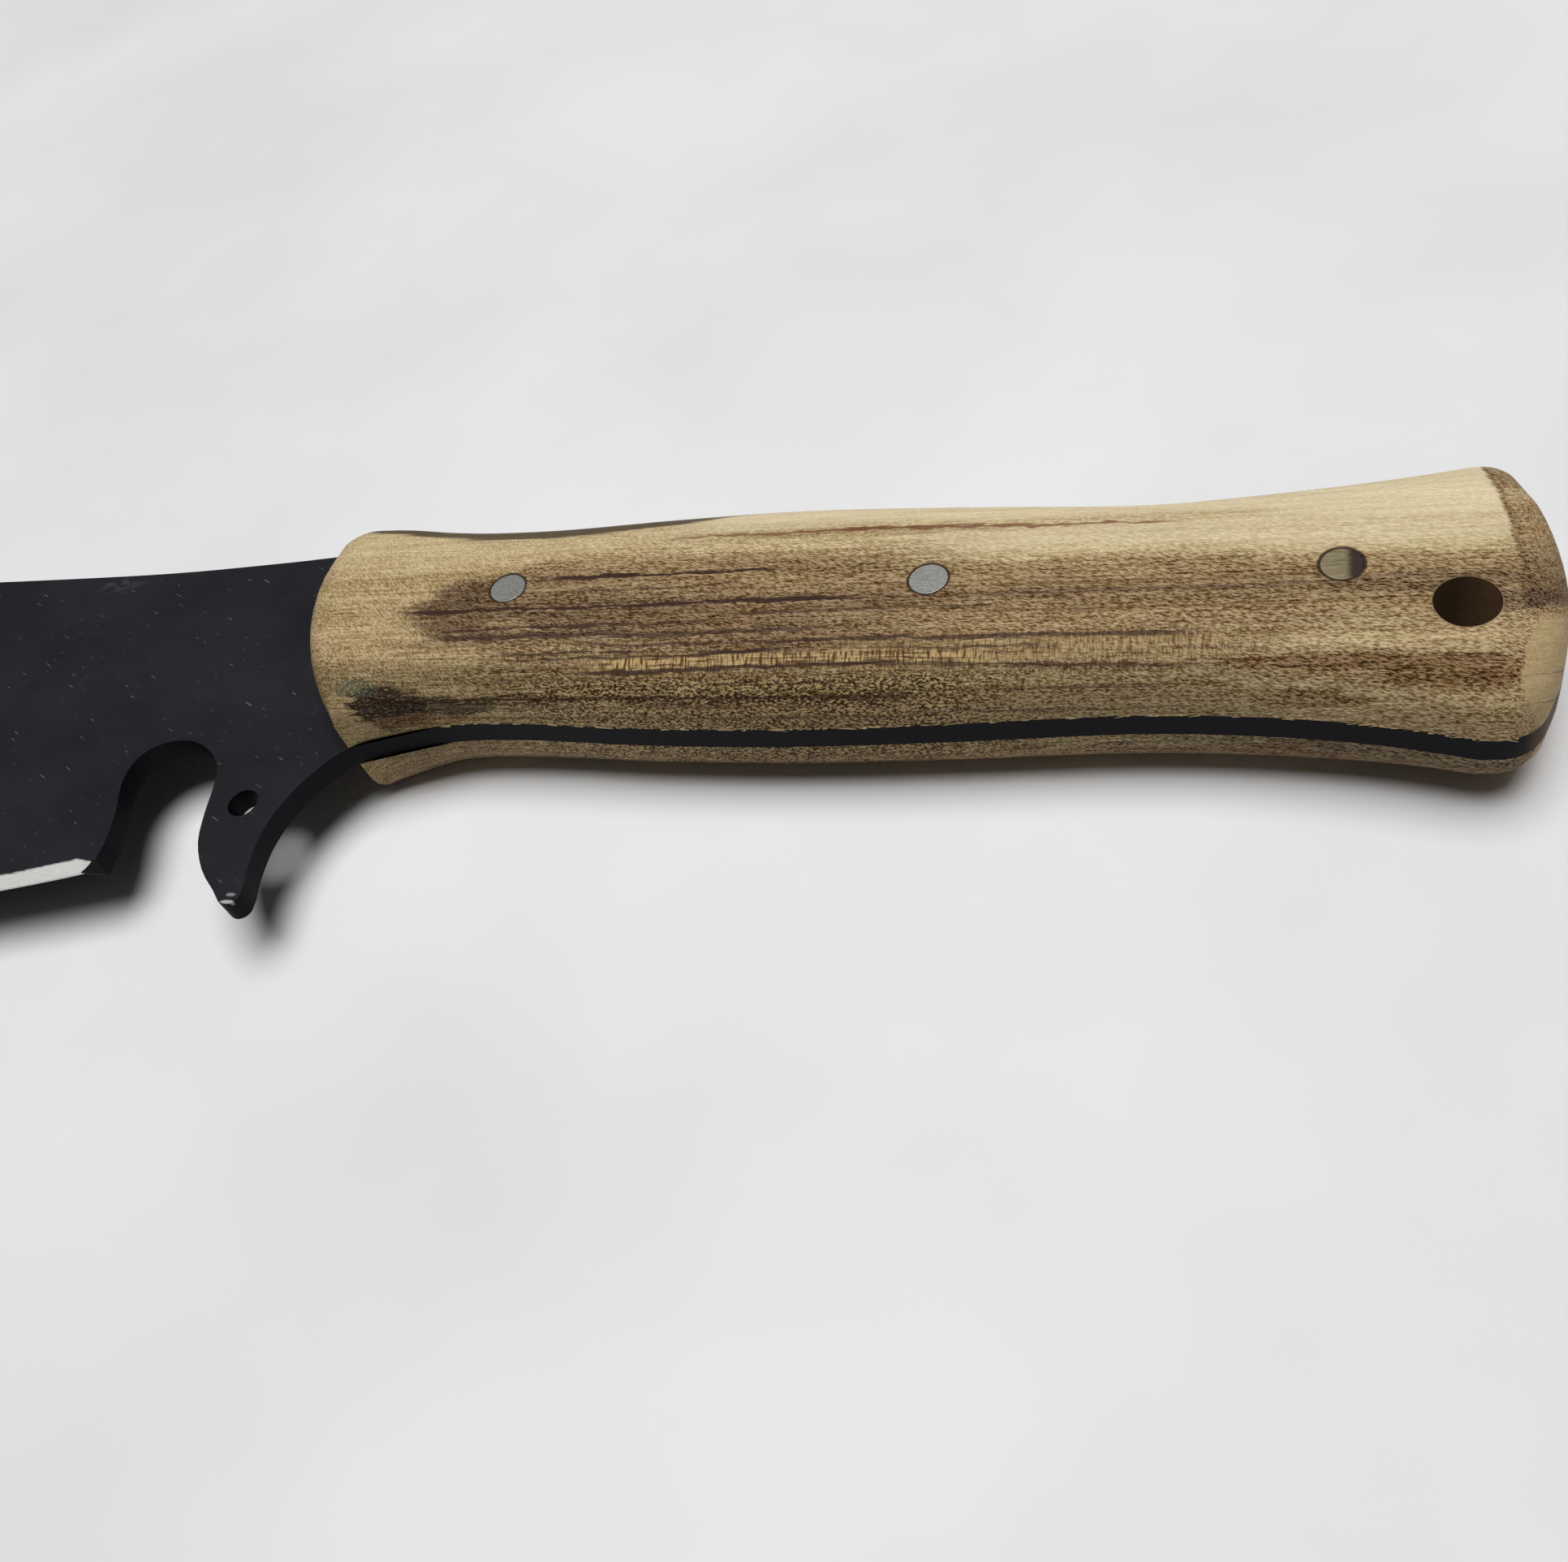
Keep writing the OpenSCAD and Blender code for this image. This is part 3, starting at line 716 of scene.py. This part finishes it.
# %% Ground steel
def ground_steel():
    """Bare ground steel of the bevel, with the coat's ragged border along its upper side"""
    material, add, shader = start_material("ground_bare_steel", Roughness=0.6)
    place = millimetres(add)
    height = add("Math", add("SeparateXYZ", place).outputs["Z"], operation="ABSOLUTE")
    lines = stretched_noise(add, place, (9, 0.12, 0.12), 2, 3.0)
    ragged = stretched_noise(add, place, (1.3, 0.5, 0.5), 4, 3.0)
    # Painted reflection: the near-white stands partly for the bright room that bare steel mirrors
    colour = add("ValToRGB", lines, stops=[(0.3, rgb("E6E7E2")), (0.7, rgb("FAFAF7"))])
    border = add("Math", ragged, 0.35, height, operation="MULTIPLY_ADD")
    coat = step_up(add, border, 1.66, 1.72)
    fringe = times(add, step_up(add, border, 1.5, 1.66), 0.5)
    colour = tint(add, colour, fringe, "6A5560")
    colour = tint(add, colour, coat, "1F1F23")
    link(material, colour, shader.inputs["Base Color"])
    link(material, add("MapRange", coat, 0.0, 1.0, 0.25, 0.0), shader.inputs["Metallic"])
    link(material, add("Bump", 0.3, 0.00002, None, lines), shader.inputs["Normal"])
    return material


bare_steel = ground_steel()
count_nodes(bare_steel)

# %% [markdown]
# ## Pin metals
# The front and middle pins are soft aluminium rod, cut off and sanded flush with the wood, so
# their ends are matt grey with fine lines in the direction of sanding.

# %% Aluminium
def sanded_aluminium():
    """Grey aluminium with fine sanding lines and a few darker pits"""
    material, add, shader = start_material("sanded_aluminium", Metallic=1.0)
    place = millimetres(add)
    lines = stretched_noise(add, place, (0.9, 0.09, 0.5), 3, 3.0, 0.6)
    pits = stretched_noise(add, place, (0.3, 0.25, 0.3), 6, 2.0)
    colour = add("ValToRGB", lines, stops=[(0.3, rgb("989895")), (0.7, rgb("BFBEB8"))])
    colour = tint(add, colour, times(add, step_up(add, pits, 0.58, 0.68), 0.45), "5A5752")
    link(material, colour, shader.inputs["Base Color"])
    link(material, add("MapRange", pits, 0.3, 0.7, 0.42, 0.6), shader.inputs["Roughness"])
    link(material, add("Bump", 0.5, 0.00003, None, lines), shader.inputs["Normal"])
    return material


aluminium = sanded_aluminium()
count_nodes(aluminium)

# %% [markdown]
# The rear pin is a brassy rod whose face is pale on one side and dark brown on the other. One step
# across the face parts the two, and the sanding lines break it up.

# %% Brass
def two_toned_brass():
    """Brassy rod end, pale at the front and dark brown at the butt side"""
    material, add, shader = start_material("two_toned_brass", Metallic=0.85, Roughness=0.45)
    place = millimetres(add)
    centre = (middle("rear_pin") - pin_middle) / MM
    along = add("SeparateXYZ", place).outputs["X"]
    lines = stretched_noise(add, place, (2.2, 0.12, 0.5), 5, 3.0, 0.6)
    edge = add("Math", lines, 1.6, along, operation="MULTIPLY_ADD")
    dark = step_up(add, edge, centre.x + 1.0, centre.x + 1.9)
    stops = [(0.3, rgb("7A6C48")), (0.5, rgb("9C8F6C")), (0.7, rgb("B4AD98"))]
    colour = add("ValToRGB", lines, stops=stops)
    colour = tint(add, colour, times(add, dark, 0.92), "3A2C30")
    link(material, colour, shader.inputs["Base Color"])
    link(material, add("Bump", 0.5, 0.00003, None, lines), shader.inputs["Normal"])
    return material


brass = two_toned_brass()
count_nodes(brass)

# %% [markdown]
# ## Finishing a piece
# The frame's meshes are loose triangles. A merged copy can be shaded smooth and have its edges
# eased: a sharp corner never catches light, and a real one always does. The copy stands for the
# frame's piece, which goes on colliding and weighing in the simulation.

# %% Merged copies
def piece_from(shape, name, *materials):
    """The edit mesh as a new object with these materials"""
    mesh = bpy.data.meshes.new(name)
    shape.to_mesh(mesh)
    shape.free()
    for material in materials:
        mesh.materials.append(material)
    return put_in_scene(name, mesh)


# Points this close together are one point, in millimetres
SAME_POINT = 0.002


def merged_copy(node, name, *materials, sharp_angle):
    """A copy of a frame piece with its points joined, and its edges sharp from this angle on"""
    shape = bmesh.new()
    shape.from_mesh(frame["nodes"][node].data)
    bmesh.ops.remove_doubles(shape, verts=shape.verts, dist=SAME_POINT * MM)
    bmesh.ops.dissolve_degenerate(shape, edges=shape.edges, dist=SAME_POINT / 2 * MM)
    for face in shape.faces:
        face.smooth = True
    sharp = math.radians(sharp_angle)
    for edge in shape.edges:
        edge.smooth = len(edge.link_faces) == 2 and edge.calc_face_angle(0.0) < sharp
    open_edges = sum(1 for e in shape.edges if len(e.link_faces) != 2)
    print(name, "has", len(shape.faces), "faces and", open_edges, "open edges")
    return piece_from(shape, name, *materials)


def ease_edges(piece, width, angle):
    """A small rounded bevel on every edge that is sharper than the angle"""
    bevel = piece.modifiers.new("eased edges", "BEVEL")
    bevel.width = width * MM
    bevel.segments = 2
    bevel.limit_method = "ANGLE"
    bevel.angle_limit = math.radians(angle)
    bevel.harden_normals = True


tool_body = next(iter(frame["bodies"]))


def stand_for(piece, node):
    """The piece rides on the tool's body and stands for this node of the frame"""
    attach(piece, tool_body)
    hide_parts(node)

# %% [markdown]
# ## Blade
# The faces that grinding made lean between flat and upright, so their normals pick them out. The
# narrow land along the edge stands upright, but is the only face that stays near the middle of
# the steel. All these get the bare steel. The flat sides get the coat, and the cut edges its
# darker copy with painted shade.

# %% Blade
# The upright part of a face's normal tells upright, ground and flat faces apart. The land's faces
# reach no further than this from the middle of the steel, in millimetres.
UPRIGHT, FLAT = 0.3, 0.95
LAND_REACH = 0.2
# Places of the bare steel and of the cut edges' darker coat, with painted shade, among the
# blade's materials
BARE, WALL = 1, 2


def make_blade():
    blade = merged_copy("blade", "hooked_blade", coat, bare_steel, shaded_wall_coat, sharp_angle=25)
    ground = 0
    for face in blade.data.polygons:
        lean = abs(face.normal.z)
        heights = [abs(blade.data.vertices[i].co.z - pin_middle.z) for i in face.vertices]
        if UPRIGHT < lean < FLAT or max(heights) < LAND_REACH * MM:
            face.material_index = BARE
            ground += 1
        elif lean <= UPRIGHT:
            face.material_index = WALL
    ease_edges(blade, width=0.12, angle=28)
    stand_for(blade, "blade")
    print("blade has", ground, "ground faces")


make_blade()

# %% [markdown]
# ## Handle scales
# Each scale keeps the shape that it has in the frame. The edges that stay sharp there, round the
# holes and along the tang, are eased a little, as hand sanding does.

# %% Scales
def make_scale(node, name, material):
    scale = merged_copy(node, name, material, sharp_angle=30)
    ease_edges(scale, width=0.14, angle=35)
    stand_for(scale, node)


make_scale("left_scale", "upper_wood_scale", left_wood)
make_scale("right_scale", "lower_wood_scale", right_wood)

# %% [markdown]
# The rasp tore some fibres along the lower edge of the upper scale, and they hang a little over the
# black tang. Each is a thin closed cone that lies along the grain, with its thick end in the wood.
# A ray from the front finds the edge, so the fibres stay on it if the outline changes.

# %% Torn fibres
def pale_fibre():
    """Broken hardwood fibre, paler than the sanded face"""
    material, add, shader = start_material("torn_wood_fibre", Roughness=0.8, Specular_IOR_Level=0.1)
    grain = stretched_noise(add, millimetres(add), (0.8, 0.1, 0.1), 3, 2.0)
    colour = add("ValToRGB", grain, stops=[(0.3, rgb("86704C")), (0.7, rgb("CDB98E"))])
    link(material, colour, shader.inputs["Base Color"])
    return material


# Where the edge has fibres, and where it is frayed most, in millimetres from the front pin
FIBRES_START, FIBRES_END = -14.0, 111.0
FRAYED = ((32, 52), (72, 80), (95, 111))
FIBRE_SIDES = 5


def make_torn_fibres(node, name, material):
    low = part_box(node)[0]
    wood = frame["nodes"][node].data
    points, faces = [v.co for v in wood.vertices], [f.vertices for f in wood.polygons]
    surface = BVHTree.FromPolygons(points, faces)
    chance = random.Random(7)
    shape = bmesh.new()
    along = FIBRES_START
    while along < FIBRES_END:
        frayed = any(start < along < end for start, end in FRAYED)
        along += chance.uniform(0.3, 1.4) if frayed else chance.uniform(1.2, 5.0)
        start = from_pin(along, -60, 0)
        start.z = low.z + 0.03 * MM
        edge = surface.ray_cast(start, Vector((0, 1, 0)))[0]
        if edge is None:
            continue
        length = chance.uniform(0.5, 2.2) * MM
        thick = chance.uniform(0.07, 0.17) * MM
        made = bmesh.ops.create_cone(
            shape, cap_ends=True, segments=FIBRE_SIDES, radius1=thick, radius2=thick * 0.2,
            depth=length)["verts"]
        lean = Matrix.Rotation(math.radians(chance.uniform(-9, 9)), 4, "Z")
        dip = math.radians(90 + chance.uniform(2, 14)) * chance.choice((-1, 1))
        out, down = chance.uniform(-0.02, 0.08), chance.uniform(0.0, 0.12)
        centre = Matrix.Translation(edge + Vector((0, out, -down)) * MM)
        turned = centre @ lean @ Matrix.Rotation(dip, 4, "Y")
        bmesh.ops.transform(shape, matrix=turned, verts=made)
    bmesh.ops.recalc_face_normals(shape, faces=shape.faces)
    print(name, "has", len(shape.faces) // (FIBRE_SIDES + 2), "fibres")
    fibres = piece_from(shape, name, material)
    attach(fibres, tool_body)


make_torn_fibres("left_scale", "torn_fibres", pale_fibre())

# %% [markdown]
# ## Pins
# A pin is a plain rod. It starts as a circle, is extruded to its full length, and its two rims are
# bevelled a little, as the sandpaper rounds them.

# %% Pins
# The gap round a pin and the width of its rim's bevel, in millimetres
PIN_GAP = 0.04
PIN_RIM = 0.05
PIN_SIDES = 64


def make_pin(node, name, material):
    low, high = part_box(node)
    centre = middle(node)
    radius = (high.x - low.x) / 2 - PIN_GAP * MM
    shape = bmesh.new()
    bmesh.ops.create_circle(shape, cap_ends=True, segments=PIN_SIDES, radius=radius)
    made = bmesh.ops.extrude_face_region(shape, geom=shape.faces[:])["geom"]
    top = [g for g in made if isinstance(g, bmesh.types.BMVert)]
    bmesh.ops.translate(shape, verts=top, vec=(0, 0, high.z - low.z))
    bmesh.ops.translate(shape, verts=shape.verts, vec=(centre.x, centre.y, low.z))
    rims = [e for e in shape.edges if abs(e.verts[0].co.z - e.verts[1].co.z) < SAME_POINT * MM]
    bmesh.ops.bevel(shape, geom=rims, offset=PIN_RIM * MM, segments=3, profile=0.5,
                    affect="EDGES", material=-1)
    bmesh.ops.recalc_face_normals(shape, faces=shape.faces)
    for face in shape.faces:
        face.smooth = len(face.verts) == 4
    stand_for(piece_from(shape, name, material), node)
    print(name, "radius", round(radius / MM, 2), "mm")


make_pin("front_pin", "front_aluminium_pin", aluminium)
make_pin("middle_pin", "middle_aluminium_pin", aluminium)
make_pin("rear_pin", "rear_brass_pin", brass)

# %% [markdown]
# ## Floor
# The tool lies on a plain pale floor. One wide face is enough for it, with a faint cloud in its
# colour. It belongs to the stage, so it stays out of the exported model.

# %% Floor
# In metres
FLOOR_HALF = 6


def make_floor():
    shape = bmesh.new()
    bmesh.ops.create_grid(shape, x_segments=1, y_segments=1, size=FLOOR_HALF)
    material, add, shader = start_material("pale_floor", Roughness=0.8, Specular_IOR_Level=0.2)
    place = millimetres(add)
    cloud = stretched_noise(add, place, (60, 60, 60), 2, 3.0)
    colour = add("ValToRGB", cloud, stops=[(0.3, rgb("DFDFE0")), (0.7, rgb("E9E9EA"))])
    link(material, colour, shader.inputs["Base Color"])
    piece_from(shape, "floor", material)


make_floor()
print("the floor is", 2 * FLOOR_HALF, "m wide")

# %% [markdown]
# ## Light
# One broad soft lamp hangs 2 m above the grip, and a dim even sky fills the rest, so the shadows
# are dark under the steel and soft at their borders. The lamp stays clear of the direction in
# which the blade would mirror it to the camera. The camera itself sees a bright sky, so that
# nothing behind the floor looks black.

# %% Lamp and sky
# In metres from the middle of the grip, and in watts
LAMP_PLACE = (0.1, 0.0, 2.0)
LAMP_WIDTH = 1.5
LAMP_POWER = 43.0
SKY_LIGHT, SKY_SEEN = 0.05, 0.9


def make_soft_lamp():
    data = bpy.data.lights.new("ceiling_light", "AREA")
    data.shape = "DISK"
    data.size = LAMP_WIDTH
    data.energy = LAMP_POWER
    grip_middle = from_pin(40, 0, 0)
    lamp = put_in_scene("ceiling_light", data)
    lamp.matrix_world = looking(grip_middle + Vector(LAMP_PLACE), grip_middle)


def make_world():
    world = bpy.data.worlds.new("sky")
    world.use_nodes = True
    tree = world.node_tree
    background = tree.nodes["Background"]
    background.inputs["Color"].default_value = (1, 1, 1, 1)
    path = tree.nodes.new("ShaderNodeLightPath")
    seen = tree.nodes.new("ShaderNodeMapRange")
    tree.links.new(path.outputs["Is Camera Ray"], seen.inputs["Value"])
    seen.inputs["To Min"].default_value = SKY_LIGHT
    seen.inputs["To Max"].default_value = SKY_SEEN
    tree.links.new(seen.outputs["Result"], background.inputs["Strength"])
    bpy.context.scene.world = world


make_soft_lamp()
make_world()
bpy.context.scene.view_settings.view_transform = "Standard"
print("a lamp of", LAMP_POWER, "W hangs", LAMP_PLACE[2], "m up")
